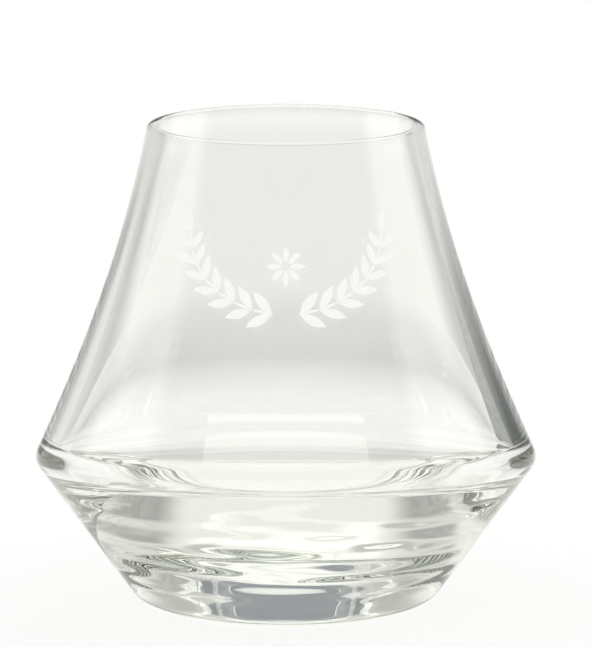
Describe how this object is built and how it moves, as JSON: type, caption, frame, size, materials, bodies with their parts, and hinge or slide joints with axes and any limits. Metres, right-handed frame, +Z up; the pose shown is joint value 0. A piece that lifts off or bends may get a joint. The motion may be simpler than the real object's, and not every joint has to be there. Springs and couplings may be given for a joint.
{
  "type": "rum tasting glass",
  "caption": "Stemless clear glass for tasting rum: a bell-shaped bowl narrows from a rounded belt to a fire-polished lip, above a heavy solid base that tapers to a round foot.",
  "frame": {"origin": "centre of the foot, on the surface that the glass stands on", "axes": "+Z up along the axis of the glass, from the foot to the lip; -Y is the side towards the picture's camera and +X is to its right"},
  "size_m": [0.1, 0.1, 0.0955],
  "materials": {
    "clear_glass": "fire-polished clear soda-lime glass, with a faint green tint where it is thick"
  },
  "bodies": {
    "root": {"glass_body": "clear_glass"}
  },
  "joints": []
}
